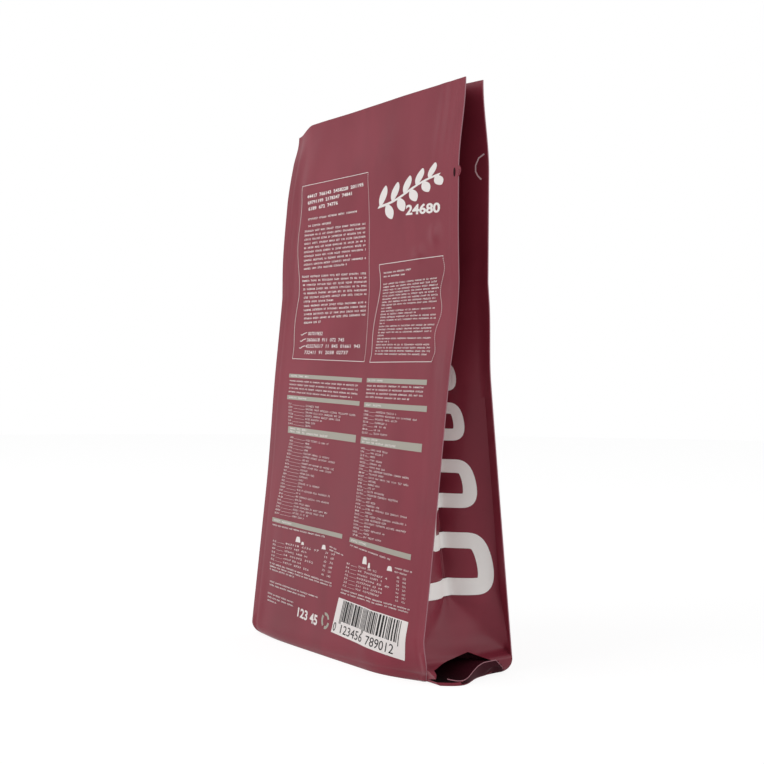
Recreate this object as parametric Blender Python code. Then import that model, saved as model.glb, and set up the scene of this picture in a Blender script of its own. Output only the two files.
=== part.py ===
"""A sealed stand-up bag of dry feed: two printed panels, a folded gusset down each side, a heat seal on top.

Metres, +Z up. The origin is at the middle of the base. The printed panel faces -Y, the gussets -X and +X.
"""

import math

import bmesh
import bpy
from mathutils.geometry import delaunay_2d_cdt

# The film as it is cut
BAG_WIDTH = 0.200
BAG_HEIGHT = 0.374
GUSSET_HALF = 0.042
SEALED_EDGE = 0.0008
SEAL_BAND = 0.007

# How far the contents open the gussets: the angle of each half of the film from closed flat
BASE_OPENING = math.radians(69.6)
SHOULDER_OPENING = math.radians(17.5)
TOP_OPENING = math.radians(10.1)
SHOULDER_HEIGHT = 0.247
MOUTH_CLOSES_FROM = 0.316
OPENING_CURVE = 1.05

# How the panels fill out and close
BACK_BULGE = 0.002
FRONT_BULGE = 0.006
BASE_BULGE_SHARE = 0.15
BULGE_RISES_TO = 0.063
BULGE_FALLS_FROM = 0.147
BULGE_FALLS_TO = 0.274
PANELS_MEET_FROM = 0.263
PANELS_MEET_AT = 0.363
PANELS_MEET_RUN = 0.030
FULL_PANEL_CURVE = 2.2
FLAT_PANEL_CURVE = 8.0
GUSSET_BOW = 0.005
EAR_FULLNESS = 0.0005

# How the empty upper part leans and twists
TOP_LEAN = 0.0034
RIGHT_LEAN_FROM = 0.184
RIGHT_LEAN_TO = 0.237
LEFT_LEAN_FROM = 0.263
LEFT_LEAN_TO = 0.353
LEFT_SAG = 0.0023
LEFT_SAG_FROM = 0.105
LEFT_SAG_FULL = 0.200
LEFT_CORNER_DROP = 0.0039
LEFT_CORNER_LENGTH = 0.021
LEFT_CORNER_REACH = 0.032

# The base: its rounded rim, the opened foot of each gusset, and the corner that stands off the floor
BASE_ROUND = 0.0095
BASE_ROUND_SHARE = 0.35
FOLD_FLAT = 0.0008
FOOT_HEIGHT = 0.0505
LIP_HEIGHT = 0.0147
RIM_HEIGHT = 0.0063
RIM_REACH = 0.001
CORNER_LIFT = 0.008
CORNER_LIFT_FROM = 0.084
CORNER_LIFT_INNER = 0.0084
CORNER_LIFT_HEIGHT = 0.063
NOTCH_LIFT = 0.0063
NOTCH_PLACE = 0.020
NOTCH_WIDTH = 0.0053

# The mouth under each gusset, between the gusset's folded lip and the rim of the base film
MOUTH_DEPTH = 0.015
MOUTH_TAPER = 0.7
MOUTH_FAR_END = 0.018
MOUTH_APEX = -0.0016
LIP_NEAR = 0.0168
LIP_APEX = 0.020
LIP_FAR = 0.0133
RIM_LOW = 0.0046
RIM_RISE = 0.0074
RIM_RISE_SPAN = 0.0105
RIM_NEAR_RISE = 0.0032
RIM_NEAR_FROM = 0.0126

# How finely the skin is divided
PANEL_COLUMNS = 22
GUSSET_COLUMNS = 16
LEVELS = 38
LEVEL_CROWDING = 1.4
MOUTH_POINTS = 28


def clear_scene():
    """Removes what the file holds when it opens."""
    for item in list(bpy.data.objects):
        bpy.data.objects.remove(item, do_unlink=True)


def ramp(value, start, end):
    """A smooth step from 0 at start to 1 at end."""
    share = min(1.0, max(0.0, (value - start) / (end - start)))
    return share * share * (3.0 - 2.0 * share)


def mix(first, second, share):
    """The value that lies this share of the way from first to second."""
    return first + (second - first) * share


def half_depth(height):
    """Half the bag's depth at its sealed edges, which the gusset's film sets."""
    base = GUSSET_HALF * math.sin(BASE_OPENING)
    shoulder = GUSSET_HALF * math.sin(SHOULDER_OPENING)
    top = GUSSET_HALF * math.sin(TOP_OPENING)
    if height < SHOULDER_HEIGHT:
        return mix(shoulder, base, (1.0 - height / SHOULDER_HEIGHT) ** OPENING_CURVE)
    return mix(shoulder, top, ramp(height, MOUTH_CLOSES_FROM, BAG_HEIGHT))


def lean(across, height):
    """How far the bag's middle plane stands towards +Y; across is -1 at the left edge and 1 at the right."""
    right = TOP_LEAN * ramp(height, RIGHT_LEAN_FROM, RIGHT_LEAN_TO)
    sag = LEFT_SAG * ramp(height, LEFT_SAG_FROM, LEFT_SAG_FULL)
    left = mix(-sag, TOP_LEAN, ramp(height, LEFT_LEAN_FROM, LEFT_LEAN_TO))
    return mix(left, right, 0.5 + 0.5 * across)


def gusset_section(height):
    """Half the gusset's mouth, the half width of its opened foot, and how deep its fold goes in."""
    half = half_depth(height) - SEALED_EDGE
    opened = min(1.0, max(0.0, (FOOT_HEIGHT - height) / (FOOT_HEIGHT - LIP_HEIGHT)))
    foot = mix(FOLD_FLAT, half, opened)
    fold = math.sqrt(GUSSET_HALF**2 - half**2 - 2.0 * foot * (GUSSET_HALF - half))
    return half, foot, fold


def base_inset(height):
    """How far the rounded rim of the base draws the skin in at this height."""
    if height >= BASE_ROUND:
        return 0.0
    return BASE_ROUND - math.sqrt(BASE_ROUND**2 - (BASE_ROUND - height) ** 2)


def gusset_point(side, film, height):
    """A point of a gusset; film runs from -1 at the back edge to 1 at the front edge.

    The middle half of the columns lies in the opened foot, or above it in the narrow flat of the fold.
    """
    half, foot, fold = gusset_section(height)
    slope = min(1.0, 2.0 - 2.0 * abs(film))
    towards = math.copysign(1.0, film)
    y = min(1.0, 2.0 * abs(film)) * towards * mix(half, foot, slope)
    rim = 1.0 - ramp(height, RIM_HEIGHT, LIP_HEIGHT)
    inward = mix(fold, -RIM_REACH, rim) * slope
    length = math.hypot(fold, half - foot)
    bow = GUSSET_BOW * (half - foot) / GUSSET_HALF * math.sin(math.pi * slope)
    inset = base_inset(height)
    x = BAG_WIDTH / 2 - inward + bow * (half - foot) / length
    x -= inset * mix(BASE_ROUND_SHARE, 1.0, film * film)
    y -= towards * bow * fold / length
    y *= (half - inset) / half
    return side * x, y + lean(side, height)


def panel_point(facing, across, height):
    """A point of a panel; facing is -1 for the printed back and 1 for the front, across runs from -1 to 1.

    The back stays near flat between its edges, and towards the top the front closes onto it.
    """
    edge = half_depth(height)
    half, foot, fold = gusset_section(height)
    closed = ramp(height, PANELS_MEET_FROM, PANELS_MEET_AT) if facing > 0 else 0.0
    rise = mix(BASE_BULGE_SHARE, 1.0, ramp(height, 0.0, BULGE_RISES_TO))
    bulge = FRONT_BULGE if facing > 0 else BACK_BULGE
    bulge *= rise * (1.0 - ramp(height, BULGE_FALLS_FROM, BULGE_FALLS_TO))
    on_back = 2.0 * SEALED_EDGE - edge
    middle = mix(edge + bulge, on_back, closed)
    curve = mix(FULL_PANEL_CURVE, FLAT_PANEL_CURVE, closed)
    filled = mix(middle, edge, abs(across) ** curve)
    from_edge = (1.0 - abs(across)) * BAG_WIDTH / 2
    slope = min(1.0, from_edge / fold)
    taut = mix(half, foot, slope) + SEALED_EDGE + EAR_FULLNESS * math.sin(math.pi * slope)
    taut = mix(taut, on_back, ramp(from_edge - fold, 0.0, PANELS_MEET_RUN))
    inset = base_inset(height)
    depth = max(filled, taut) - inset * mix(BASE_ROUND_SHARE, 1.0, across**6)
    x = across * (BAG_WIDTH / 2 - inset)
    return x, facing * depth + lean(across, height)


def raised(x, y, height):
    """The height of a point once the base corner, the notch beside the rim and the top corner are formed."""
    across = x / (BAG_WIDTH / 2)
    back = -half_depth(0.0)
    fades = 1.0 - ramp(height, BASE_ROUND, CORNER_LIFT_HEIGHT)
    starts = ramp(height, 0.0, BASE_ROUND / 10)
    corner = CORNER_LIFT * ramp(x, -CORNER_LIFT_FROM, BAG_WIDTH / 2) * ramp(y, -CORNER_LIFT_INNER, back)
    notch = NOTCH_LIFT * math.exp(-(((y - NOTCH_PLACE) / NOTCH_WIDTH) ** 2)) * ramp(across, 0.9, 1.0)
    notch *= 1.0 - ramp(height, 0.0, RIM_HEIGHT)
    drop = LEFT_CORNER_DROP * ramp(height, BAG_HEIGHT - LEFT_CORNER_REACH, BAG_HEIGHT)
    drop *= ramp(-x, BAG_WIDTH / 2 - LEFT_CORNER_LENGTH, BAG_WIDTH / 2)
    return height + (corner * fades + notch) * starts - drop


def ring_point(index, height):
    """A point of the bag's outline at one height: back panel, left gusset, front panel, right gusset."""
    ring = 2 * (PANEL_COLUMNS + GUSSET_COLUMNS + 2)
    index %= ring
    half_ring = ring // 2
    facing = -1 if index < half_ring else 1
    step = index % half_ring
    if step <= PANEL_COLUMNS:
        across = facing * (2.0 * step / PANEL_COLUMNS - 1.0)
        x, y = panel_point(facing, across, height)
    else:
        film = facing * (1.0 - 2.0 * (step - PANEL_COLUMNS - 1) / GUSSET_COLUMNS)
        x, y = gusset_point(facing, film, height)
    return x, y, raised(x, y, height)


def close_end(mesh, rim):
    """Closes one end of the tube with triangles between the points of its rim, in their order."""
    flat = [vert.co.to_2d() for vert in rim]
    inside_only = 1
    found = delaunay_2d_cdt(flat, [], [range(len(flat))], inside_only, 1e-9)
    for corners in found[2]:
        mesh.faces.new([rim[corner] for corner in corners])


def make_skin():
    """The closed skin: a tube drawn out to the bag's outlines, closed at its base and along its top seal."""
    ring = 2 * (PANEL_COLUMNS + GUSSET_COLUMNS + 2)
    mesh = bmesh.new()
    bmesh.ops.create_cone(mesh, segments=ring, radius1=1.0, radius2=1.0, depth=1.0, cap_ends=False)
    upright = [edge for edge in mesh.edges if edge.verts[0].co.z != edge.verts[1].co.z]
    bmesh.ops.subdivide_edges(mesh, edges=upright, cuts=LEVELS - 1)
    ends = {0: {}, LEVELS: {}}
    for vert in mesh.verts:
        index = round(math.atan2(vert.co.y, vert.co.x) / math.tau * ring) % ring
        level = round((vert.co.z + 0.5) * LEVELS)
        vert.co = ring_point(index, BAG_HEIGHT * (level / LEVELS) ** LEVEL_CROWDING)
        if level in ends:
            ends[level][index] = vert
    for rim in ends.values():
        close_end(mesh, [rim[index] for index in range(ring)])
    bmesh.ops.recalc_face_normals(mesh, faces=mesh.faces)
    data = bpy.data.meshes.new("gusset_bag")
    mesh.to_mesh(data)
    mesh.free()
    return data


def mouth_edge(side_share, upper):
    """A point of the mouth's outline, in Y and Z; side_share is -1 at the near end and 1 at the far end."""
    near_end = SEAL_BAND - half_depth(LIP_NEAR)
    y = mix(near_end, MOUTH_FAR_END, 0.5 + 0.5 * side_share)
    if not upper:
        rise = RIM_RISE * ramp(y, -RIM_RISE_SPAN, RIM_RISE_SPAN)
        near_rise = RIM_NEAR_RISE * ramp(y, -RIM_NEAR_FROM, near_end)
        return y, RIM_LOW + rise + near_rise
    if y < MOUTH_APEX:
        return y, mix(LIP_NEAR, LIP_APEX, (y - near_end) / (MOUTH_APEX - near_end))
    return y, mix(LIP_APEX, LIP_FAR, (y - MOUTH_APEX) / (MOUTH_FAR_END - MOUTH_APEX))


def make_mouth_cutter(side):
    """A tapered block with the mouth's outline, which reaches into the base from one side."""
    mesh = bmesh.new()
    bmesh.ops.create_circle(mesh, cap_ends=True, segments=MOUTH_POINTS, radius=1.0)
    outer_x = BAG_WIDTH / 2 + 2 * MOUTH_DEPTH
    inner_x = BAG_WIDTH / 2 - MOUTH_DEPTH
    for vert in mesh.verts:
        turn = math.atan2(vert.co.y, vert.co.x) + math.pi / MOUTH_POINTS
        y, z = mouth_edge(math.cos(turn), math.sin(turn) > 0.0)
        vert.co = (side * outer_x, y, z)
    grown = bmesh.ops.extrude_face_region(mesh, geom=mesh.faces[:])["geom"]
    middle_z = mix(RIM_LOW, LIP_APEX, 0.5)
    for vert in grown:
        if isinstance(vert, bmesh.types.BMVert):
            y = mix(MOUTH_APEX, vert.co.y, MOUTH_TAPER)
            vert.co = (side * inner_x, y, mix(middle_z, vert.co.z, MOUTH_TAPER))
    bmesh.ops.recalc_face_normals(mesh, faces=mesh.faces)
    data = bpy.data.meshes.new("mouth_cutter")
    mesh.to_mesh(data)
    mesh.free()
    cutter = bpy.data.objects.new("mouth_cutter", data)
    cutter.hide_render = True
    cutter.display_type = "WIRE"
    return cutter


def film_material():
    """Matt laminated film, printed a deep red-brown."""
    material = bpy.data.materials.new("matt_printed_film")
    material.use_nodes = True
    shader = material.node_tree.nodes["Principled BSDF"]
    shader.inputs["Base Color"].default_value = (0.17, 0.034, 0.052, 1.0)
    shader.inputs["Roughness"].default_value = 0.5
    shader.inputs["Metallic"].default_value = 0.0
    return material


def build_bag():
    """The bag in its collection, with the two mouths cut under its gussets."""
    bag_parts = bpy.data.collections.new("side_gusset_bag")
    cutters = bpy.data.collections.new("cutters")
    bpy.context.scene.collection.children.link(bag_parts)
    bpy.context.scene.collection.children.link(cutters)
    data = make_skin()
    data.materials.append(film_material())
    data.shade_smooth()
    data.set_sharp_from_angle(angle=math.radians(40))
    bag = bpy.data.objects.new("gusset_bag", data)
    bag_parts.objects.link(bag)
    for side in (-1, 1):
        cutter = make_mouth_cutter(side)
        cutters.objects.link(cutter)
        cut = bag.modifiers.new("mouth", "BOOLEAN")
        cut.object = cutter
        cut.operation = "DIFFERENCE"
        cut.solver = "EXACT"
    return bag


clear_scene()
build_bag()
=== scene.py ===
import math
import random

import bmesh
import bpy
from mathutils import Matrix, Vector, noise
from mathutils.geometry import delaunay_2d_cdt


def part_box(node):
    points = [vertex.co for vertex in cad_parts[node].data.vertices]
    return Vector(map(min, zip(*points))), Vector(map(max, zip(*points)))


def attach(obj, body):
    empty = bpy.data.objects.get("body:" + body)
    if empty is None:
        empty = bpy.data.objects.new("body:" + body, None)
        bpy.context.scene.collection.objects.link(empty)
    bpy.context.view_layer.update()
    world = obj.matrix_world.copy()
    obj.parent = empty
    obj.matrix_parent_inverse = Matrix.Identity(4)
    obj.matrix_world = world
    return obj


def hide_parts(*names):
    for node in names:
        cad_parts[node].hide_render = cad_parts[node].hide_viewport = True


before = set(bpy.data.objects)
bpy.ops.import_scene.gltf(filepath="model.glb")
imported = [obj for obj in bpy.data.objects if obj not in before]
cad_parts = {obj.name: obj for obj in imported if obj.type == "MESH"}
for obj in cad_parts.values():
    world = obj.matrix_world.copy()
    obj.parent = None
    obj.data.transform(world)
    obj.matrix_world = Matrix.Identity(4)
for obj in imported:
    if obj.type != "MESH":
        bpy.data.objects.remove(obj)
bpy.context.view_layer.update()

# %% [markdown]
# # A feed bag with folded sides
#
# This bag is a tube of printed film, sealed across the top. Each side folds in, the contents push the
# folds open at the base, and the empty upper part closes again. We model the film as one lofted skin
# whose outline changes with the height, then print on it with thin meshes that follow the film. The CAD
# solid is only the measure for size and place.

MM = 0.001
bag_low, bag_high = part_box("gusset_bag")
BAG_HEIGHT = bag_high[2] - bag_low[2]
print("the solid stands", round(BAG_HEIGHT / MM, 1), "mm tall")

# %% [markdown]
# ## The bag's real sizes
#
# The film is cut 200 mm wide, and each gusset is twice 42 mm. How far the contents open a gusset is an
# angle of its film: almost flat at the base, nearly shut above the shoulder. Every other outline follows
# from those, so we keep them as named values and let small functions work out the rest.

# %% Sizes in metres and angles in radians
BAG_WIDTH = 0.200
HALF_WIDTH = BAG_WIDTH / 2
GUSSET_HALF = 0.042
SEALED_EDGE = 0.0008
SEAL_BAND = 0.0062
BASE_OPENING = math.radians(69.6)
SHOULDER_OPENING = math.radians(17.5)
TOP_OPENING = math.radians(10.1)
SHOULDER_HEIGHT = 0.247
MOUTH_CLOSES_FROM = 0.316
OPENING_CURVE = 1.05
BACK_BULGE = 0.002
FRONT_BULGE = 0.006
BASE_BULGE_SHARE = 0.15
BULGE_RISES_TO, BULGE_FALLS_FROM, BULGE_FALLS_TO = 0.063, 0.147, 0.274
PANELS_MEET_FROM, PANELS_MEET_AT, PANELS_MEET_RUN = 0.263, 0.363, 0.030
FULL_PANEL_CURVE = 2.2
FLAT_PANEL_CURVE = 8.0
GUSSET_BOW = 0.005
EAR_FULLNESS = 0.0005
TOP_LEAN = 0.0034
RIGHT_LEAN_FROM, RIGHT_LEAN_TO = 0.184, 0.237
LEFT_LEAN_FROM, LEFT_LEAN_TO = 0.263, 0.353
LEFT_SAG, LEFT_SAG_FROM, LEFT_SAG_FULL = 0.0023, 0.105, 0.200
LEFT_CORNER_DROP, LEFT_CORNER_LENGTH, LEFT_CORNER_REACH = 0.0056, 0.024, 0.040
LEFT_CORNER_CURL, CURL_LENGTH, CURL_REACH = 0.0048, 0.022, 0.026
BASE_ROUND = 0.0095
BASE_ROUND_SHARE = 0.35
FOLD_FLAT = 0.0008
STRIP_SHARE = 0.3
FOOT_HEIGHT = 0.0505
LIP_HEIGHT = 0.0147
RIM_HEIGHT = 0.0063
RIM_REACH = 0.001
CORNER_LIFT, CORNER_LIFT_FROM, CORNER_LIFT_INNER, CORNER_LIFT_HEIGHT = 0.0045, 0.084, 0.0084, 0.063
NOTCH_LIFT, NOTCH_PLACE, NOTCH_WIDTH = 0.0055, 0.0235, 0.0042
EDGE_DRAWN_IN, EDGE_DRAWN_FROM, EDGE_DRAWN_TO = 0.0033, 0.200, 0.290
FOOT_DRAWN_IN, FOOT_DRAWN_TO = 0.0050, 0.026
DRAWN_REACH = 0.050
SKIRT_BULGE, SKIRT_MIDDLE, SKIRT_SPAN = 0.0095, -0.011, 0.0155
MOUTH_NEAR_END, MOUTH_APEX, MOUTH_FAR_END = -0.0272, 0.0065, 0.0235
LIP_NEAR, LIP_APEX, LIP_FAR = 0.0090, 0.0163, 0.0098
RIM_LOW, RIM_RISE, RIM_RISES_FROM, RIM_RISES_TO = 0.0018, 0.0077, -0.018, 0.016
LEDGE = 0.005
TAIL_LENGTH, TAIL_DROP = 0.0065, 0.0058
SHARP_FOLD, SOFT_FOLD = 0.008, 0.12


def held(share):
    """A share kept between 0 and 1."""
    return min(1.0, max(0.0, share))


def ramp(value, start, end):
    """A smooth step from 0 at start to 1 at end."""
    share = held((value - start) / (end - start))
    return share * share * (3.0 - 2.0 * share)


def mix(first, second, share):
    return first + (second - first) * share


def bell(value, middle, width):
    """A smooth hump of height 1 round the middle."""
    return math.exp(-(((value - middle) / width) ** 2))


# %% [markdown]
# ## The bag's outline at one height
#
# Seen from above, the outline is two long panels and two V-shaped gussets. A loft only needs one function
# that gives a point of that outline for a height. Here the film's own length sets it: where the bag is
# shallow the fold goes in deep, and where it is opened the fold comes out.

# %% Half the bag's depth, its lean, and the gusset's fold
def half_depth(height):
    openings = (BASE_OPENING, SHOULDER_OPENING, TOP_OPENING)
    base, shoulder, top = (GUSSET_HALF * math.sin(turn) for turn in openings)
    if height < SHOULDER_HEIGHT:
        return mix(shoulder, base, (1.0 - height / SHOULDER_HEIGHT) ** OPENING_CURVE)
    return mix(shoulder, top, ramp(height, MOUTH_CLOSES_FROM, BAG_HEIGHT))


def lean(across, height):
    """How far the middle plane stands towards +Y; across is -1 at the left edge, 1 at the right."""
    right = TOP_LEAN * ramp(height, RIGHT_LEAN_FROM, RIGHT_LEAN_TO)
    sag = LEFT_SAG * ramp(height, LEFT_SAG_FROM, LEFT_SAG_FULL)
    left = mix(-sag, TOP_LEAN, ramp(height, LEFT_LEAN_FROM, LEFT_LEAN_TO))
    return mix(left, right, 0.5 + 0.5 * across)


def gusset_section(height):
    """Half the gusset's mouth, the half width of its opened foot, and how deep its fold goes in."""
    half = half_depth(height) - SEALED_EDGE
    opened = held((FOOT_HEIGHT - height) / (FOOT_HEIGHT - LIP_HEIGHT))
    foot = mix(FOLD_FLAT, half, opened)
    return half, foot, math.sqrt(GUSSET_HALF**2 - half**2 - 2.0 * foot * (GUSSET_HALF - half))


def base_inset(height):
    """How far the rounded rim of the base draws the film in."""
    if height >= BASE_ROUND:
        return 0.0
    return BASE_ROUND - math.sqrt(BASE_ROUND**2 - (BASE_ROUND - height) ** 2)


print("half depths:", [round(half_depth(height) / MM, 1) for height in (0.0, 0.1, 0.25, BAG_HEIGHT)], "mm")

# %% [markdown]
# ## Soft dents and the seal
#
# Laminated film is never flat. It has long shallow waves, a few soft dents where the feed presses, and a
# pressed band where panel and gusset are welded together. A bump texture would not show in the outline,
# so each dent is real geometry: a smooth hump with a place, a size and a depth.

# %% The panel's relief in millimetres of height
BACK_DENTS = (
    # x, height, half width, half height, sideways run per mm of height, depth: all in mm
    (79, 352, 5, 30, 0.05, 0.9),
    (90, 150, 5, 75, -0.03, 0.7),
    (49, 30, 6, 22, 0.15, 1.1),
    (78, 278, 5, 7, 0.0, 1.7),
    (62, 268, 6, 5, 0.0, 1.4),
    (-86, 285, 5, 60, 0.04, -0.8),
    (-70, 345, 12, 26, 0.3, 0.7),
    (-20, 350, 15, 30, -0.2, -0.6),
    (30, 345, 12, 25, 0.2, 0.5),
    (-30, 120, 16, 40, 0.1, 0.7),
    (-84, 60, 8, 40, 0.0, -0.7),
    (45, 110, 14, 50, -0.1, -0.6),
    (4, 235, 10, 45, 0.08, -0.5),
    (-30, 20, 20, 14, 0.0, -0.6),
)
WAVE_SIZE = 0.055
WAVE_HEIGHT = 1.2
WAVE_PLACE, WAVE_STRETCH = 3.7, 0.6
BAND_STEP = 0.15
BAND_GROOVE = 0.12


def seal_relief(from_edge):
    """The pressed band beside a weld: flat to its inner line, a groove, then the free film."""
    step = BAND_STEP * ramp(from_edge, SEAL_BAND - 0.4 * MM, SEAL_BAND + 2.5 * MM)
    return step - BAND_GROOVE * bell(from_edge, SEAL_BAND, 0.7 * MM)


def panel_relief(facing, x, height):
    """How far the film stands proud of its plain outline, in metres."""
    from_edge = HALF_WIDTH - abs(x)
    fades = ramp(from_edge, SEAL_BAND, 2.5 * SEAL_BAND) * ramp(height, 0.0, 2 * BASE_ROUND)
    place = Vector((x / WAVE_SIZE, facing * WAVE_PLACE, WAVE_STRETCH * height / WAVE_SIZE))
    relief = seal_relief(from_edge) + WAVE_HEIGHT * noise.noise(place) * fades
    for place_x, place_z, half_x, half_z, run, depth in BACK_DENTS:
        z = height / MM - place_z
        dent = bell(facing * -x / MM, place_x + run * z, half_x) * bell(z, 0.0, half_z)
        relief += depth * dent * ramp(from_edge, 0.0, SEAL_BAND)
    return relief * MM


print("relief in the panel's middle:", round(panel_relief(-1, 0.0, 0.2) / MM, 2), "mm")

# %% [markdown]
# ## Panels and gussets as surfaces
#
# With the outline and the relief known, a point on the film needs only two numbers: how far across and
# how high. The skin and the print both call these functions, so the ink lies on the film wherever the
# film goes.

# %% A point of a panel and a point of a gusset
def panel_outline(facing, across, height):
    """The plain depth of a panel: the back is near flat, and towards the top the front closes onto it."""
    edge = half_depth(height)
    half, foot, fold = gusset_section(height)
    closed = ramp(height, PANELS_MEET_FROM, PANELS_MEET_AT) if facing > 0 else 0.0
    rise = mix(BASE_BULGE_SHARE, 1.0, ramp(height, 0.0, BULGE_RISES_TO))
    bulge = FRONT_BULGE if facing > 0 else BACK_BULGE
    bulge *= rise * (1.0 - ramp(height, BULGE_FALLS_FROM, BULGE_FALLS_TO))
    on_back = 2.0 * SEALED_EDGE - edge
    middle = mix(edge + bulge, on_back, closed)
    filled = mix(middle, edge, abs(across) ** mix(FULL_PANEL_CURVE, FLAT_PANEL_CURVE, closed))
    from_edge = (1.0 - abs(across)) * HALF_WIDTH
    slope = min(1.0, from_edge / fold)
    taut = mix(half, foot, slope) + SEALED_EDGE + EAR_FULLNESS * math.sin(math.pi * slope)
    taut = mix(taut, on_back, ramp(from_edge - fold, 0.0, PANELS_MEET_RUN))
    return max(filled, taut)


def raised(x, y, height):
    """The height of a point once the base corner, the notch by the rim and the top corner are formed."""
    fades = 1.0 - ramp(height, BASE_ROUND, CORNER_LIFT_HEIGHT)
    starts = ramp(height, 0.0, BASE_ROUND / 10)
    corner = CORNER_LIFT * ramp(x, -CORNER_LIFT_FROM, HALF_WIDTH)
    corner *= ramp(y, -CORNER_LIFT_INNER, -half_depth(0.0))
    notch = NOTCH_LIFT * bell(y, NOTCH_PLACE, NOTCH_WIDTH) * ramp(x / HALF_WIDTH, 0.9, 1.0)
    notch *= 1.0 - ramp(height, 0.0, RIM_HEIGHT)
    drop = LEFT_CORNER_DROP * ramp(height, BAG_HEIGHT - LEFT_CORNER_REACH, BAG_HEIGHT)
    drop *= ramp(-x, HALF_WIDTH - LEFT_CORNER_LENGTH, HALF_WIDTH)
    return height + (corner * fades + notch) * starts - drop


def drawn_in(x, y, height):
    """How far the back's right seam is drawn in, and how far its top left corner curls in."""
    pull = EDGE_DRAWN_IN * (1.0 - ramp(height, EDGE_DRAWN_FROM, EDGE_DRAWN_TO))
    pull += FOOT_DRAWN_IN * (1.0 - ramp(height, 0.0, FOOT_DRAWN_TO))
    pull *= ramp(x, DRAWN_REACH, HALF_WIDTH)
    curl = LEFT_CORNER_CURL * ramp(height, BAG_HEIGHT - CURL_REACH, BAG_HEIGHT)
    pull += curl * ramp(-x, HALF_WIDTH - CURL_LENGTH, HALF_WIDTH)
    return pull * held(-y / half_depth(height))


def mouth_rim(y):
    """The height of the base film's rim at y."""
    return RIM_LOW + RIM_RISE * ramp(y, RIM_RISES_FROM, RIM_RISES_TO)


def rim_tail(y):
    """The rim's height, and beyond the mouth its short way down beside the far corner."""
    return mouth_rim(y) - TAIL_DROP * max(0.0, y - MOUTH_FAR_END) / TAIL_LENGTH


def mouth_lip(y):
    """The height of the folded film's lower edge over the mouth: up to its apex, then down again."""
    if y < MOUTH_APEX:
        return mix(LIP_NEAR, LIP_APEX, held((y - MOUTH_NEAR_END) / (MOUTH_APEX - MOUTH_NEAR_END)))
    return mix(LIP_APEX, LIP_FAR, held((y - MOUTH_APEX) / (MOUTH_FAR_END - MOUTH_APEX)))


def panel_film(facing, across, height):
    """A point on the outside of a panel; facing is -1 for the printed back."""
    inset = base_inset(height)
    depth = panel_outline(facing, across, height) - inset * mix(BASE_ROUND_SHARE, 1.0, across**6)
    x = across * (HALF_WIDTH - inset)
    y = facing * (depth + panel_relief(facing, x, height)) + lean(across, height)
    return Vector((x, y + drawn_in(x, y, height), raised(x, y, height)))


def gusset_film(side, film, height):
    """A point on a gusset; film runs from -1 at the back seam to 1 at the front seam.

    First comes the welded strip, which lies along the panel, then the sloping film, then the opened foot.
    """
    half, foot, fold = gusset_section(height)
    softness = mix(SHARP_FOLD, SOFT_FOLD, (foot - FOLD_FLAT) / (half - FOLD_FLAT))
    slope = 2.0 - 2.0 * abs(film)
    slope -= softness * math.log1p(math.exp((slope - 1.0) / softness))
    towards = math.copysign(1.0, film)
    length = math.hypot(fold, half - foot)
    strip = min(SEAL_BAND, STRIP_SHARE * length)
    strip_end = min(half, panel_outline(towards, 1.0 - strip / HALF_WIDTH, height) - 1.5 * SEALED_EDGE)
    along = slope * length
    inward_fold = strip + math.sqrt(max(0.0, (length - strip) ** 2 - (strip_end - foot) ** 2))
    if along < strip:
        inward = along
        y = mix(half, strip_end, along / strip)
    else:
        share = (along - strip) / (length - strip)
        bow = GUSSET_BOW * (half - foot) / GUSSET_HALF * math.sin(math.pi * share)
        inward = mix(strip, inward_fold, share) - bow * (half - foot) / length
        y = mix(strip_end, foot, share) - bow * fold / length
    y *= towards * min(1.0, 2.0 * abs(film))
    inset = base_inset(height)
    y = y * (half - inset) / half + lean(side, height)
    pulled = y + drawn_in(side * (HALF_WIDTH - inward), y, height)
    rim = mouth_rim(pulled)
    below = 1.0 - ramp(height, rim, max(mouth_lip(pulled), rim + LEDGE))
    hangs = below * bell(pulled, SKIRT_MIDDLE, SKIRT_SPAN) * (1.0 - abs(film) ** 8)
    x = HALF_WIDTH - mix(inward, -RIM_REACH * slope, below) + SKIRT_BULGE * hangs
    x -= inset * mix(BASE_ROUND_SHARE, 1.0, film * film) * (1.0 - hangs)
    return Vector((side * x, pulled, raised(side * x, y, height)))


print("the back's middle:", [round(value / MM, 1) for value in panel_film(-1, 0.0, 0.2)])

# %% [markdown]
# ## The skin
#
# We start from an open tube, cut it into levels, and move each vertex to its place on the film. The
# columns crowd near the seams, where the pressed band is, and the levels near the base, where the film
# curls under. Flat triangles close both ends.

# %% The tube is drawn out to the film
PANEL_COLUMNS = 92
GUSSET_COLUMNS = 52
LEVELS = 250
LEVEL_CROWDING = 1.3
SEAM_CROWDING = 0.62
RING = 2 * (PANEL_COLUMNS + GUSSET_COLUMNS + 2)
CUT_EDGE, FOLD_SHADE = 1, 2
SHADE_FROM = -0.012
SOFT_FOOT_TO, ROUNDS_FOR_ALL, ROUNDS_BELOW = 0.043, 12, 36


def crowded(share):
    """Moves evenly spread shares from -1 to 1 closer to both ends."""
    return mix(share, math.sin(share * math.pi / 2), SEAM_CROWDING)


def ring_point(index, height):
    """A point of the outline: back panel, left gusset, front panel, right gusset."""
    facing = -1 if index < RING // 2 else 1
    step = index % (RING // 2)
    if step <= PANEL_COLUMNS:
        return panel_film(facing, facing * crowded(2.0 * step / PANEL_COLUMNS - 1.0), height)
    return gusset_film(facing, facing * (1.0 - 2.0 * (step - PANEL_COLUMNS - 1) / GUSSET_COLUMNS), height)


def close_end(mesh, rim):
    """Closes one end of the tube with triangles between the points of its rim."""
    flat = [vert.co.to_2d() for vert in rim]
    inside_only = 1
    for corners in delaunay_2d_cdt(flat, [], [range(len(flat))], inside_only, 1e-9)[2]:
        mesh.faces.new([rim[corner] for corner in corners])


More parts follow.
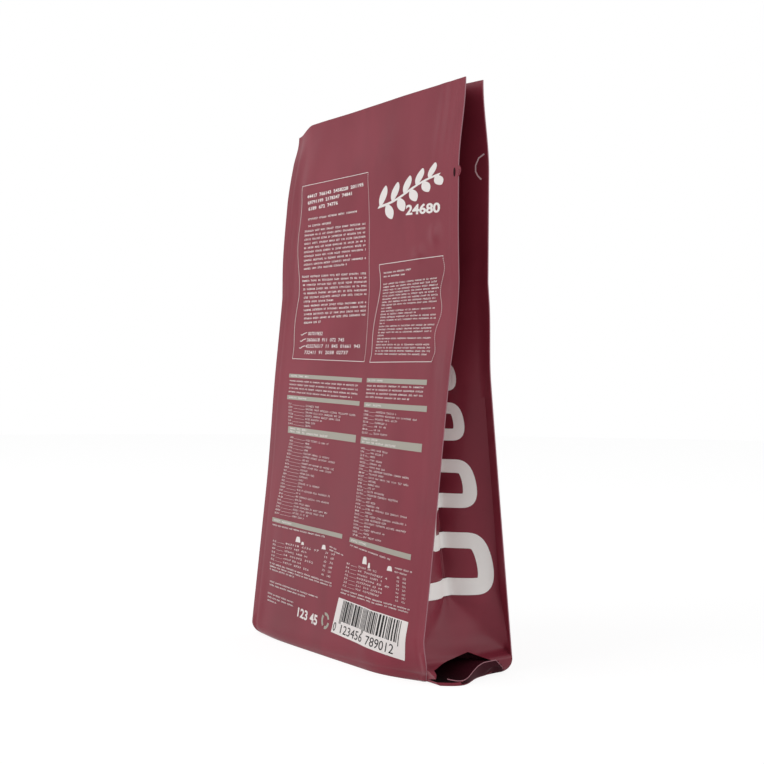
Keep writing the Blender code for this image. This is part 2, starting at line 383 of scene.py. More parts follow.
def linked(name, data):
    """An object of the scene that holds data."""
    piece = bpy.data.objects.new(name, data)
    bpy.context.scene.collection.objects.link(piece)
    return piece


def as_data(mesh, name):
    """A bmesh written out as mesh data, and freed."""
    data = bpy.data.meshes.new(name)
    mesh.to_mesh(data)
    mesh.free()
    return data


def finished(mesh, name, smooth_angle=None):
    """A bmesh made into an object, with outward normals."""
    bmesh.ops.recalc_face_normals(mesh, faces=mesh.faces)
    piece = linked(name, as_data(mesh, name))
    if smooth_angle:
        piece.data.shade_smooth()
        piece.data.set_sharp_from_angle(angle=math.radians(smooth_angle))
    return piece


def loft_skin():
    """The tube, drawn out to the film; the opened feet are then smoothed, as soft film is."""
    mesh = bmesh.new()
    bmesh.ops.create_cone(mesh, segments=RING, radius1=1.0, radius2=1.0, depth=1.0, cap_ends=False)
    upright = [edge for edge in mesh.edges if edge.verts[0].co.z != edge.verts[1].co.z]
    bmesh.ops.subdivide_edges(mesh, edges=upright, cuts=LEVELS - 1)
    ends = {0: {}, LEVELS: {}}
    foot = []
    steps = {}
    for vert in mesh.verts:
        index = round(math.atan2(vert.co.y, vert.co.x) / math.tau * RING) % RING
        steps[vert] = index % (RING // 2)
        level = round((vert.co.z + 0.5) * LEVELS)
        vert.co = ring_point(index, BAG_HEIGHT * (level / LEVELS) ** LEVEL_CROWDING)
        step = steps[vert] - PANEL_COLUMNS - 1
        if LIP_HEIGHT < vert.co.z < FOOT_HEIGHT + 4 * MM and 2 < step < GUSSET_COLUMNS - 2:
            foot.append(vert)
        if level in ends:
            ends[level][index] = vert
    axes = {"use_axis_x": True, "use_axis_y": True, "use_axis_z": True}
    for repeat in range(ROUNDS_FOR_ALL + ROUNDS_BELOW):
        soft = foot if repeat < ROUNDS_FOR_ALL else [vert for vert in foot if vert.co.z < SOFT_FOOT_TO]
        bmesh.ops.smooth_vert(mesh, verts=soft, factor=0.5, **axes)
    # Skirt faces below each mouth's rim get the fold's painted shade
    for face in mesh.faces:
        columns = {steps[vert] for vert in face.verts}
        middle = face.calc_center_median()
        if columns in ({PANEL_COLUMNS, PANEL_COLUMNS + 1}, {RING // 2 - 1, 0}):
            face.material_index = CUT_EDGE
        elif min(columns) > PANEL_COLUMNS and SHADE_FROM < middle.y and middle.z < rim_tail(middle.y):
            face.material_index = FOLD_SHADE
    for rim in ends.values():
        close_end(mesh, [rim[index] for index in range(RING)])
    return mesh


skin = finished(loft_skin(), "printed_film_skin", 40)
print("skin:", len(skin.data.polygons), "faces")

# %% [markdown]
# ## Colours and nodes
#
# Colours are easiest to judge as hex values, but a shader works in linear light. One function turns the
# first into the second, and others make a material and add a node with its settings and links.

# %% Helpers for every material
def colour(code):
    """An sRGB hex value as a linear colour."""
    parts = [int(code[place : place + 2], 16) / 255 for place in (1, 3, 5)]
    return [part / 12.92 if part <= 0.04045 else ((part + 0.055) / 1.055) ** 2.4 for part in parts] + [1.0]


def new_material(name):
    """A material, its node tree and its main shader."""
    material = bpy.data.materials.new(name)
    material.use_nodes = True
    return material, material.node_tree, material.node_tree.nodes["Principled BSDF"]


def add_node(tree, kind, settings=(), **sockets):
    """Adds a node; a socket, named or as i with its number, gets a value, or a link to an output."""
    node = tree.nodes.new(kind)
    for name, value in dict(settings).items():
        setattr(node, name, value)
    for name, value in sockets.items():
        by_number = name[0] == "i" and name[1:].isdigit()
        socket = node.inputs[int(name[1:]) if by_number else name.replace("_", " ")]
        if isinstance(value, bpy.types.NodeSocket):
            tree.links.new(value, socket)
        else:
            socket.default_value = value
    return node


# %% [markdown]
# ## Matt laminated film
#
# The film is polyester and polyethylene, printed deep red and laminated with a matt coat. The coat
# scatters light into a soft milky sheen, and the ink is a little uneven. A broad noise varies ink and
# roughness; on the red film its lighter and darker patches are partly painted sheen. A fine noise gives
# the surface its matt grain.

# %% The film and its cut edge
COAT_IOR = 1.31
FOLD_IOR = 1.15
UNEVEN_SHEEN = 0.08
# The fold's painted shade is near black below FOLD_DARK in Y and darkened red above FOLD_LIGHT
FOLD_DARK, FOLD_LIGHT = -0.017, 0.000


def blend_ink(tree, share, first, second):
    """Gives the main shader a mixture of two inks."""
    ink = add_node(tree, "ShaderNodeMix", {"data_type": "RGBA"}, Factor=share, A=first, B=second)
    tree.links.new(ink.outputs["Result"], tree.nodes["Principled BSDF"].inputs["Base Color"])


def film_finish(name, dark, light, roughness, grain_depth):
    """Matt laminate: a soft sheen over flat ink, with a faint broad unevenness."""
    material, tree, shader = new_material(name)
    place = add_node(tree, "ShaderNodeTexCoord").outputs["Object"]
    # Patches of 40 mm across and 80 mm upright; on the red film their tone is partly painted sheen
    upright = add_node(tree, "ShaderNodeMapping", Vector=place, Scale=(25.0, 25.0, 13.0)).outputs["Vector"]
    broad = add_node(
        tree, "ShaderNodeTexNoise", Vector=upright, Scale=1.0, Detail=3.0, Roughness=0.5, Distortion=0.4
    )
    blend_ink(tree, broad.outputs["Fac"], colour(dark), colour(light))
    matt = add_node(
        tree, "ShaderNodeMapRange", Value=broad.outputs["Fac"],
        From_Min=0.3, From_Max=0.7, To_Min=roughness - UNEVEN_SHEEN, To_Max=roughness + UNEVEN_SHEEN,
    )
    tree.links.new(matt.outputs["Result"], shader.inputs["Roughness"])
    # The coat's real grain is some 20 micrometres; 0.6 mm is what the render can still show
    grain = add_node(tree, "ShaderNodeTexNoise", Vector=place, Scale=1600.0, Detail=2.0)
    bump = add_node(tree, "ShaderNodeBump", Height=grain.outputs["Fac"], Strength=0.12, Distance=grain_depth)
    tree.links.new(bump.outputs["Normal"], shader.inputs["Normal"])
    shader.inputs["IOR"].default_value = COAT_IOR
    return material


def paint_fold_shade():
    """The film inside a fold, painted darker as shade, near black at its deep end."""
    material = film_finish("film_with_painted_fold_shade", "#38101A", "#40141E", 0.6, 0.00004)
    tree = material.node_tree
    shader = tree.nodes["Principled BSDF"]
    ink = shader.inputs["Base Color"].links[0].from_socket
    place = add_node(tree, "ShaderNodeTexCoord").outputs["Object"]
    parts = add_node(tree, "ShaderNodeSeparateXYZ", Vector=place)
    open_end = add_node(
        tree, "ShaderNodeMapRange", Value=parts.outputs["Y"], From_Min=FOLD_DARK, From_Max=FOLD_LIGHT
    )
    # Near black painted shade towards the fold's deep end
    blend_ink(tree, open_end.outputs["Result"], colour("#170C0D"), ink)
    shader.inputs["IOR"].default_value = FOLD_IOR
    return material


film = film_finish("matt_laminated_film", "#6F1F2E", "#903746", 0.36, 0.00004)
cut_edge = film_finish("cut_edge_of_film", "#A5707A", "#B07C86", 0.5, 0.00002)
fold_shade = paint_fold_shade()
for finish in (film, cut_edge, fold_shade):
    skin.data.materials.append(finish)
print("film:", film.name)

# %% [markdown]
# ## The mouth under each gusset
#
# At the foot of a gusset the folded film stops short of the base, and one can see into the fold under it.
# We cut that hollow with a block of the mouth's outline. It goes in deep at its near end, so hardly any
# light gets out again, and runs out shallow at the far end, where the inside of the film shows. Its cut
# faces also carry painted shade: near black at the near end, darkened red towards the far one.

# %% A block for each mouth, cut out of the skin
MOUTH_DEEP, MOUTH_SHALLOW = 0.050, 0.007
MOUTH_TAPER = 0.8
MOUTH_POINTS = 64
BLOCK_STANDS_OUT = 0.020
SHALLOWS_FROM = 0.3 * MOUTH_NEAR_END
TAPER_Y, TAPER_Z = MOUTH_APEX - 6 * MM, 0.5 * (RIM_LOW + LIP_APEX)


def mouth_block(side):
    """The mouth's outline as a block that narrows inwards: deep at its near end, shallow at its far one."""
    mesh = bmesh.new()
    bmesh.ops.create_circle(mesh, cap_ends=True, segments=MOUTH_POINTS, radius=1.0)
    for vert in mesh.verts:
        turn = math.atan2(vert.co.y, vert.co.x) + math.pi / MOUTH_POINTS
        y = mix(MOUTH_NEAR_END, MOUTH_FAR_END, 0.5 + 0.5 * math.cos(turn))
        z = mouth_lip(y) if math.sin(turn) > 0.0 else mouth_rim(y)
        vert.co = (side * (HALF_WIDTH + BLOCK_STANDS_OUT), y, z)
    grown = bmesh.ops.extrude_face_region(mesh, geom=mesh.faces[:])["geom"]
    for vert in grown:
        if isinstance(vert, bmesh.types.BMVert):
            depth = mix(MOUTH_DEEP, MOUTH_SHALLOW, ramp(vert.co.y, SHALLOWS_FROM, MOUTH_FAR_END))
            y = mix(TAPER_Y, vert.co.y, MOUTH_TAPER)
            z = mix(TAPER_Z, vert.co.z, MOUTH_TAPER)
            vert.co = (side * (HALF_WIDTH - depth), y, z)
    block = finished(mesh, "mouth_block")
    # The cut faces take the fold's painted shade
    block.data.materials.append(fold_shade)
    return block


def cut_mouths(piece):
    """Cuts both mouths and keeps the result as the piece's own mesh."""
    blocks = [mouth_block(side) for side in (-1, 1)]
    for block in blocks:
        cut = piece.modifiers.new("mouth", "BOOLEAN")
        cut.object = block
        cut.operation = "DIFFERENCE"
        cut.solver = "EXACT"
        cut.material_mode = "TRANSFER"
    cut_mesh = bpy.data.meshes.new_from_object(piece.evaluated_get(bpy.context.evaluated_depsgraph_get()))
    piece.modifiers.clear()
    piece.data = cut_mesh
    for block in blocks:
        bpy.data.objects.remove(block, do_unlink=True)


cut_mouths(skin)
print("skin with its mouths:", len(skin.data.polygons), "faces")
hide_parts("gusset_bag")
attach(skin, "root")

# %% [markdown]
# ## Print that follows the film
#
# The ink lies under the matt laminate, so it shows no edge. An image texture would be the usual way, but
# thin meshes stay sharp at any size and keep each colour a plain material. Every shape is laid out flat,
# in shares across and down a block of the layout, and then carried to the film by the same functions that
# made the skin. All that is written here is plain numbers.

# %% A block of the layout, and the flat shapes in it
INK_LIFT = 0.10 * MM
OVERPRINT_LIFT = 0.20 * MM


def layout(corners, lift=INK_LIFT):
    """Takes shares across and down a block to the panel; corners in mm, two at the top, two below."""
    top_left, top_right, low_left, low_right = (Vector(corner) * MM for corner in corners)

    def place(across, down):
        flat = top_left.lerp(top_right, across).lerp(low_left.lerp(low_right, across), down)
        return panel_film(-1, flat.x / HALF_WIDTH, flat.y) - Vector((0.0, lift, 0.0))

    return place


def block_size(corners):
    """The mean width and height of a block in mm."""
    top_left, top_right, low_left, low_right = (Vector(corner) for corner in corners)
    width = ((top_right - top_left).length + (low_right - low_left).length) / 2
    return width, ((top_left - low_left).length + (top_right - low_right).length) / 2


def upright(left, right, top, low):
    """The corners of an upright block."""
    return (left, top), (right, top), (left, low), (right, low)


def add_patch(mesh, place, columns, rows):
    """A grid of faces; place takes shares across and down, both from 0 to 1."""
    grid = bmesh.ops.create_grid(mesh, x_segments=columns, y_segments=rows, size=0.5)["verts"]
    for vert in grid:
        vert.co = place(vert.co.x + 0.5, 0.5 - vert.co.y)


def add_box(mesh, place, box, columns=1, rows=1):
    """A patch on part of a block; box is left, right, top and bottom as shares of the block."""
    left, right, top, bottom = box

    def within(across, down):
        return place(mix(left, right, across), mix(top, bottom, down))

    add_patch(mesh, within, columns, rows)


def add_ribbon(mesh, place, path, width, points, columns=1):
    """A band along path; path and width are functions of a share and give a flat point and a width."""

    def carried(across, down):
        point = Vector(path(down))
        run = Vector(path(down + 0.001)) - Vector(path(down - 0.001))
        side = Vector((run.y, -run.x)).normalized()
        flat = point + side * (across - 0.5) * width(down)
        return place(flat.x, flat.y)

    add_patch(mesh, carried, columns, points)


def printed(mesh, name, material):
    """A layer of print made into a piece; its faces already point off the film."""
    piece = linked(name, as_data(mesh, name))
    piece.data.shade_smooth()
    piece.data.materials.append(material)
    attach(piece, "root")
    print(name + ":", len(piece.data.polygons), "faces")


# %% A line of plain numbers
LINE_CHANCE = random.Random(14)


def numbers(letters):
    """Groups of digits, as long as words are, up to so many characters."""
    words = []
    while sum(len(word) + 1 for word in words) < letters:
        length = LINE_CHANCE.randint(2, 9)
        words.append("".join(LINE_CHANCE.choice("0123456789") for digit in range(length)))
    return "  ".join(words)[:letters].strip()


def add_line(mesh, place, text, box, bold=0.0, detail=1):
    """Sets one line of text into a box of a block; the digits fill the box's height and its width."""
    curve = bpy.data.curves.new("line", "FONT")
    curve.body = text
    curve.size = 1.0
    curve.resolution_u = detail
    curve.offset = bold
    holder = bpy.data.objects.new("line", curve)
    flat = bpy.data.meshes.new_from_object(holder)
    wide = sorted(vert.co.x for vert in flat.vertices)
    tall = sorted(vert.co.y for vert in flat.vertices)
    left, right, top, bottom = box
    for vert in flat.vertices:
        across = mix(left, right, (vert.co.x - wide[0]) / (wide[-1] - wide[0]))
        down = mix(bottom, top, (vert.co.y - tall[0]) / (tall[-1] - tall[0]))
        vert.co = place(across, down)
    mesh.from_mesh(flat)
    bpy.data.objects.remove(holder)
    bpy.data.curves.remove(curve)
    bpy.data.meshes.remove(flat)


LETTER_WIDTH = 0.88
SMALL_LETTERS = 0.84


def rows_of(corners, rows, height):
    """The top and the foot of each of a block's rows, as shares of its depth."""
    depth = block_size(corners)[1]
    pitch = (depth - height) / max(1, rows - 1)
    return [(row * pitch / depth, (row * pitch + height) / depth) for row in range(rows)]


def add_paragraph(mesh, corners, lines, height, widths=(), detail=1, bold=0.022, ragged=0.0):
    """Lines of numbers; height is a capital's in mm, and plain text is as high as its small letters."""
    height *= SMALL_LETTERS if detail == 1 else 1.0
    width = block_size(corners)[0]
    for line, (top, low) in enumerate(rows_of(corners, lines, height)):
        share = dict(widths).get(line, 1.0 - ragged * LINE_CHANCE.random())
        letters = max(3, round(width * share / (LETTER_WIDTH * height)))
        add_line(mesh, layout(corners), numbers(letters), (0.0, share, top, low), bold, detail)


# %% [markdown]
# ## The inks
#
# Four inks show: an off-white, a purer white on the gussets, a warm grey for the heading bars, and
# near-black for the bars of the code. All lie under the same laminate as the red and share its sheen.

# %% Ink materials
INK_ROUGHNESS, INK_GRAIN = 0.46, 0.00002
INKS = (
    ("white_ink_under_laminate", "#E6DFDD", "#EFE9E6"),
    ("white_ink_of_the_gussets", "#FAF5F2", "#FFFBF8"),
    ("warm_grey_ink_under_laminate", "#A5A095", "#ADA89D"),
    ("black_ink_under_laminate", "#1D191A", "#231F20"),
)
white_ink, gusset_white, grey_ink, dark_ink = (film_finish(*ink, INK_ROUGHNESS, INK_GRAIN) for ink in INKS)
print("inks:", [ink[0] for ink in INKS])

# %% [markdown]
# ## The text blocks of the upper half
#
# Two outlined blocks hold most of the small print. Their outlines are drawn by hand on the real layout,
# with wavy sides, so each side here is a thin ribbon along a gentle wave, cut into short dashes where the
# real one is dotted.

# %% Outlined blocks in mm across and above the base
LEFT_BLOCK = ((-81.5, 328.5), (2.5, 327.5), (-77, 201.5), (14.5, 198))
RIGHT_BLOCK = ((19.5, 263), (86, 263.6), (21, 197.5), (83.9, 197.1))
LINE_WIDTH = 0.38
SIDE_WAVE = 1.5
DASH_PITCH, DASH_SHARE = 1.3, 0.6


def add_outline(mesh, corners, waves):
    """A thin frame: plain top and bottom, wavy sides, the right one dotted."""
    place = layout(corners)
    width, depth = block_size(corners)
    for down in (0.0, 1.0):
        thick = LINE_WIDTH / depth
        add_box(mesh, place, (0.0, 1.0, down - thick / 2, down + thick / 2), columns=40)
    for side, wave in zip((0.0, 1.0), waves):
        dashes, inked = (round(depth / DASH_PITCH), DASH_SHARE) if side else (1, 1.0)
        for dash in range(dashes):
            start, end = dash / dashes, (dash + inked) / dashes

            def edge(across, down, side=side, wave=wave, start=start, end=end):
                share = mix(start, end, down)
                sway = SIDE_WAVE * math.sin(math.tau * wave * share)
                sway *= ramp(share, 0.0, 0.1) * ramp(1.0 - share, 0.0, 0.1)
                return place(side + (sway + (across - 0.5) * LINE_WIDTH) / width, share)

            add_patch(mesh, edge, 1, 2 if side else 50)


frames = bmesh.new()
add_outline(frames, LEFT_BLOCK, (2.2, 1.1))
add_outline(frames, RIGHT_BLOCK, (1.2, 2.4))
TICK_HEIGHTS = (219.5, 215.0, 210.0)
TICK_LEFT, TICK_RIGHT, TICK_HALF, TICK_WIDTH = -69.5, -61.5, 1.5, 0.16


def tick(share):
    return share, 0.75 - 0.45 * share + 0.25 * bell(share, 0.25, 0.15)


for height in TICK_HEIGHTS:
    tick_place = layout(upright(TICK_LEFT, TICK_RIGHT, height + TICK_HALF, height - TICK_HALF))
    add_ribbon(frames, tick_place, tick, lambda share: TICK_WIDTH, 8)
printed(frames, "block_outlines", white_ink)

# %% Headings and paragraphs of the upper half
HEADING_WIDTHS = ((0, 1.0), (1, 0.8), (2, 0.55))
SCRIPT_WIDTHS = ((0, 0.3), (1, 0.72), (2, 1.0), (3, 0.8))
SHORT_LINES = ((8, 0.2), (10, 0.66), (13, 0.1), (15, 0.95), (17, 0.12), (19, 0.25))
UPPER_TEXT = (
    # corners, lines and height in mm, shares of shorter lines; then detail, boldness and raggedness
    (((-73, 321), (-2, 321), (-69.5, 309), (0, 309.5)), 3, 2.7, HEADING_WIDTHS, 2, 0.03),
    (((-69.5, 303.5), (2.5, 302.5), (-68.5, 297), (3, 295.5)), 2, 1.9, ((0, 0.86), (1, 0.42))),
    (((-73, 295), (2.6, 293), (-72, 266), (4.6, 265)), 10, 1.75, ((7, 0.78), (9, 0.72))),
    (((-74.5, 262), (4.6, 259), (-67.5, 226.5), (7.2, 226.5)), 12, 1.8, ((6, 0.5), (11, 0.3))),
    (((-59.5, 220.5), (4, 218.5), (-61.5, 204.5), (7.5, 203)), 4, 2.5, SCRIPT_WIDTHS, 2, 0.01),
    (((24.5, 257.5), (54.5, 258), (24.5, 254), (54.5, 254)), 2, 1.4, ((1, 0.78),), 1, 0.03),
    (((24.5, 250), (83.1, 250.6), (25.5, 202.5), (80.8, 201.1)), 24, 1.25, SHORT_LINES, 1, 0.022, 0.06),
)
upper = bmesh.new()
for block in UPPER_TEXT:
    add_paragraph(upper, *block)
printed(upper, "small_print_upper", white_ink)

# %% [markdown]
# ## The mark and its number
#
# A tilted white mark stands beside the text. The real one belongs to its maker, so this bag carries a
# plain sprig of leaves of the same size and slant, and a bold number under it. A leaf is a ribbon whose
# width swells and dies away.

# %% A sprig of leaves
MARK = ((14.5, 314), (83, 325), (16, 291.5), (83.5, 308))
LEAVES = 10
STEM_HEIGHT, STEM_WIDTH, STEM_SWAY = 0.55, 0.075, 0.06
LEAF_TIP, LEAF_WIDTH, LEAF_FULLNESS = 0.01, 0.112, 0.75
LEAF_REACH, LEAF_SHRINK, LEAF_SLANT = 0.56, 0.012, 0.085
NUMBER = ((47.5, 300), (83, 297.5), (47.5, 293), (83, 291))


def stem(share):
    return mix(0.02, 0.98, share), STEM_HEIGHT + STEM_SWAY * math.sin(math.tau * share)


def leaf_width(share):
    return LEAF_TIP + LEAF_WIDTH * math.sin(math.pi * held(share)) ** LEAF_FULLNESS


mark = bmesh.new()
mark_place = layout(MARK)
add_ribbon(mark, mark_place, stem, lambda share: STEM_WIDTH, 60, 2)
for leaf in range(LEAVES):
    root = stem((leaf + 0.4) / LEAVES)
    reach = (LEAF_REACH - LEAF_SHRINK * leaf) * (1.0 if leaf % 2 else -1.0)

    def vein(share, root=root, reach=reach):
        return root[0] + LEAF_SLANT * share, root[1] + reach * share

    add_ribbon(mark, mark_place, vein, leaf_width, 16, 4)
WHOLE = (0.0, 1.0, 0.0, 1.0)
add_line(mark, layout(NUMBER), "24680", WHOLE, 0.035, 4)
printed(mark, "mark_and_number", white_ink)

# %% [markdown]
# ## Bars, lists and tables of the lower half
#
# The lower half is two columns of bars with text, lists and small tables under them, one column for each
# language. Each block has its own four corners, so its rows come out as they lie.

# %% Heading bars
BARS = (
    ((-79, 190.5), (14.5, 187), (-79, 187.8), (14.5, 184.2)),
    ((-79, 175), (14.5, 171.5), (-79, 172), (14.5, 168.5)),
    ((-73.5, 152.5), (14, 149), (-73.5, 147.8), (14, 144)),
    ((-85, 86), (9, 83), (-85, 83), (9, 80)),
    ((20.3, 187), (81.7, 185.8), (20.3, 184.2), (81.7, 182.5)),
    ((20, 171), (83.8, 169.4), (20, 167.8), (83.8, 165.7)),
    ((20, 148.3), (82.1, 145.8), (19.8, 143.8), (82.1, 140.6)),
    ((18.3, 82), (81.5, 77.5), (18, 79), (81.5, 74)),
)
HIGH_BAR = 4.0
BAR_TEXT_STARTS, BAR_BOLD = 0.03, 0.02
# Top, foot and end of each row as shares of its bar, and its characters
ONE_ROW = ((0.28, 0.72, 0.3, 16),)
TWO_ROWS = ((0.12, 0.42, 0.3, 16), (0.56, 0.86, 0.62, 30))
bars, bar_text = bmesh.new(), bmesh.new()
for corners in BARS:
    add_box(bars, layout(corners), WHOLE, columns=48, rows=2)
    for top, low, end, letters in TWO_ROWS if block_size(corners)[1] > HIGH_BAR else ONE_ROW:
        box = (BAR_TEXT_STARTS, end, top, low)
        add_line(bar_text, layout(corners, OVERPRINT_LIFT), numbers(letters), box, BAR_BOLD)
printed(bars, "heading_bars", grey_ink)

# %% Texts, lists and tables
lower = bar_text
LIST_LETTER_WIDTH = 0.85
LEADER_PLACE, LEADER_HALF, LEADER_GAP = 0.9, 0.06, 0.02
VALUE_WIDTH, VALUE_SPREAD, SHORTEST_NAME = 4.0, 3.0, 0.08


def add_leader(mesh, corners, start, end, row, columns):
    """A thin line from a value to its name, near the foot of a row."""
    line, thick = mix(*row, LEADER_PLACE), LEADER_HALF / block_size(corners)[1]
    add_box(mesh, layout(corners), (start, end, line - thick, line + thick), columns)


def add_list(mesh, corners, rows, height, name_starts, full_rows=()):
    """Rows of a value, a thin leader and a name; the names of full rows run to the block's edge."""
    width = block_size(corners)[0]
    for place, row in enumerate(rows_of(corners, rows, height)):
        value = (VALUE_WIDTH + VALUE_SPREAD * LINE_CHANCE.random()) / width
        add_line(mesh, layout(corners), numbers(4), (0.0, value, *row))
        add_leader(mesh, corners, value + LEADER_GAP, name_starts - LEADER_GAP, row, 6)
        end = name_starts + mix(SHORTEST_NAME, 1.0 - name_starts, LINE_CHANCE.random() ** 2)
        end = 1.0 if place in full_rows else end
        letters = max(3, round((end - name_starts) * width / (LIST_LETTER_WIDTH * height)))
        add_line(mesh, layout(corners), numbers(letters), (name_starts, end, *row))


def add_table(mesh, corners, rows, height):
    """Rows of a small feeding table: a range, a leader, a name and two columns of amounts."""
    for row in rows_of(corners, rows, height):
        name = (0.22, mix(0.5, 0.78, LINE_CHANCE.random()), 16)
        for left, right, letters in ((0.0, 0.06, 2), name, (0.86, 0.9, 2), (0.95, 1.0, 3)):
            add_line(mesh, layout(corners), numbers(letters), (left, right, *row))
        add_leader(mesh, corners, 0.08, 0.2, row, 3)


add_paragraph(lower, ((-77.5, 186), (10.5, 182.5), (-77.5, 177), (11, 173)), 4, 1.35, ((3, 0.93),))
add_paragraph(lower, ((21, 182.5), (79, 181.5), (21, 174), (79, 172.5)), 4, 1.35, ((3, 0.8),))
add_list(lower, ((-76, 169.5), (10.5, 165), (-74, 154), (12, 150)), 7, 1.35, 0.29, (1,))
add_list(lower, ((21, 166), (75.4, 163.4), (20.5, 150.5), (75.4, 148.4)), 7, 1.25, 0.24, (1,))
add_list(lower, ((-69, 145.5), (-7, 141.5), (-82.5, 89), (-13, 87.5)), 24, 1.3, 0.36, (5, 7, 15, 17, 20))
add_list(lower, ((21, 141.5), (72.3, 137.9), (21, 83.5), (75.4, 81.2)), 26, 1.25, 0.22, (6, 8, 17, 19, 21))
add_paragraph(lower, ((-84, 81.3), (-12, 79.7), (-84, 79.8), (-12, 78.2)), 1, 1.35)
add_paragraph(lower, ((19.5, 77.5), (62.8, 72.9), (19.5, 76.1), (62.8, 71.5)), 1, 1.3)
add_table(lower, ((-81, 70), (2.5, 69.5), (-82, 55.8), (-0.5, 52.9)), 6, 1.35)
add_table(lower, ((17.5, 65.5), (79, 62.5), (15.5, 49.3), (80.2, 46.2)), 7, 1.3)
add_paragraph(lower, ((-5, 74), (12.5, 71.5), (-5, 70.8), (12.5, 69)), 2, 1.2, ((0, 0.5),))
add_paragraph(lower, ((67.8, 68.3), (83.9, 67.4), (67.8, 65), (83.9, 63.9)), 2, 1.2, ((1, 0.7),))
add_paragraph(lower, ((-83, 54), (2, 49.9), (-82.5, 48.5), (1.9, 44.9)), 3, 1.35, ((2, 0.42),))
add_paragraph(lower, ((-80.5, 41), (-14.1, 38), (-80.5, 37.5), (-14.1, 34.6)), 2, 1.35, ((1, 0.75),))
add_paragraph(lower, ((-82, 32.5), (-46, 30.3), (-81.5, 26.3), (-45.5, 24.3)), 3, 1.35, ((2, 0.35),))
add_paragraph(lower, ((13.9, 47.4), (85.1, 43.3), (13.4, 44.1), (85.1, 40.2)), 2, 1.3, ((1, 0.98),))
WEIGHT = ((-38.6, 27.4), (-12.6, 25), (-39.6, 20.9), (-13.1, 17.6))
add_line(lower, layout(WEIGHT), "123 45", WHOLE, 0.03, 4)
ICONS = (
    # plain rounded shapes: middle x, middle z, half width, half height in mm
    (-46, 73.8, 3.4, 1.9), (-39.5, 71.8, 2, 1), (-12, 72.2, 2.6, 1.5),
    (37, 69, 2.4, 2.4), (42, 66.3, 1.2, 1.6), (63, 66.8, 2.6, 1.5),
)


def icon_width(share):
    return 0.45 + 0.55 * math.sqrt(held(share))


for x, z, half_x, half_z in ICONS:
    icon = layout(upright(x - half_x, x + half_x, z + half_z, z - half_z))
    add_ribbon(lower, icon, lambda share: (0.5, share), icon_width, 6, 4)
printed(lower, "small_print_lower", white_ink)

# %% [markdown]
# ## The bar code and the ring
#
# A bar code of the largest size sits at the foot: a white patch, dark bars of four widths with the longer
# guards, and a row of digits. The bars are random and the digits simply count, so it names no product.

# %% White patch, dark bars and digits
CODE = ((11.9, 41), (85, 34.3), (5.3, 16.1), (81.9, 8))
MODULE = 0.0087
CODE_STARTS, LAST_GUARDS_FROM, CODE_ENDS = 0.085, 0.895, 0.915
GUARD_STEPS = (0, 1, 15, 16)
BARS_FROM, BARS_TO, GUARDS_TO, DIGITS_TO = 0.03, 0.62, 0.70, 0.94
CODE_DIGITS = (("0", 0.015, 0.055), ("123456", 0.13, 0.46), ("789012", 0.52, 0.87))
code_patch = bmesh.new()
add_box(code_patch, layout(CODE), WHOLE, columns=60, rows=20)
printed(code_patch, "bar_code_patch", white_ink)

code_place = layout(CODE, OVERPRINT_LIFT)
code_bars = bmesh.new()
code_chance = random.Random(7)
at = CODE_STARTS
step = 0
while at < CODE_ENDS:
    guard = step in GUARD_STEPS or at > LAST_GUARDS_FROM
    wide = MODULE * (1 if guard else code_chance.choice((1, 1, 2, 3)))
    add_box(code_bars, code_place, (at, at + wide, BARS_FROM, GUARDS_TO if guard else BARS_TO), rows=12)
    at += wide + MODULE * (1 if guard else code_chance.choice((1, 1, 2, 2)))
    step += 1
for digits, left, right in CODE_DIGITS:
    add_line(code_bars, code_place, digits, (left, right, GUARDS_TO, DIGITS_TO), 0.0, 4)
printed(code_bars, "bar_code_bars", dark_ink)

# %% A ring of three arcs
RING_RADIUS, RING_WIDTH, RING_BLOCK, RING_STRETCH = 3.9, 2.1, 20.0, 1.25
ARC_GAP, ARC_SHARE = 0.12, 0.76
ring_place = layout(((-12.6, 32.2), (7.4, 32.6), (-12.7, 12.6), (7.3, 13.2)))
ring = bmesh.new()
for part in range(3):

    def arc(share, part=part):
        turn = math.tau * (part + ARC_GAP + ARC_SHARE * share) / 3
        reach = RING_RADIUS / RING_BLOCK
        return 0.5 + reach * math.cos(turn), 0.5 - reach * RING_STRETCH * math.sin(turn)

    add_ribbon(ring, ring_place, arc, lambda share: RING_WIDTH / RING_BLOCK, 12, 2)
printed(ring, "ring_of_arcs", grey_ink)

# %% [markdown]
# ## The wave on the gussets
#
# Large white artwork runs up each gusset and across its fold. In its place goes one band that winds to
# and fro, as wide and as pale as the real strokes. It is laid out on the flat film, in millimetres from
# the fold and above the base, and the gusset's own function folds it.

# %% A winding band on each side
WAVE_TURNS = (55, 84, 109, 131, 151, 168, 182, 194)
WAVE_REACH_LOW, WAVE_REACH_HIGH = 31, 16
WAVE_WIDE, WAVE_NARROW, ROUND_END = 11, 5.5, 0.012
LEG_STARTS, LEG_ENDS, LEG_FLATNESS = 0.12, 0.88, 0.6
WAVE_START, WAVE_START_REACH = 0.45, 0.25
FOLD_LENGTH = GUSSET_HALF / MM
SLOPE_STEP = 0.0015


def gusset_place(side):
    """Takes mm from the fold and above the base to the ink's place, just off the gusset's film."""

    def place(from_fold, height):
        film = math.copysign(0.5 + 0.5 * min(0.995, abs(from_fold) / FOLD_LENGTH), from_fold)
        point, left, right, above, below = (
            gusset_film(side, film + across * SLOPE_STEP, height * MM + up * SLOPE_STEP)
            for across, up in ((0, 0), (-1, 0), (1, 0), (0, 1), (0, -1))
        )
        normal = (right - left).cross(above - below).normalized()
        return point + normal * math.copysign(INK_LIFT, normal.x * point.x)

    return place


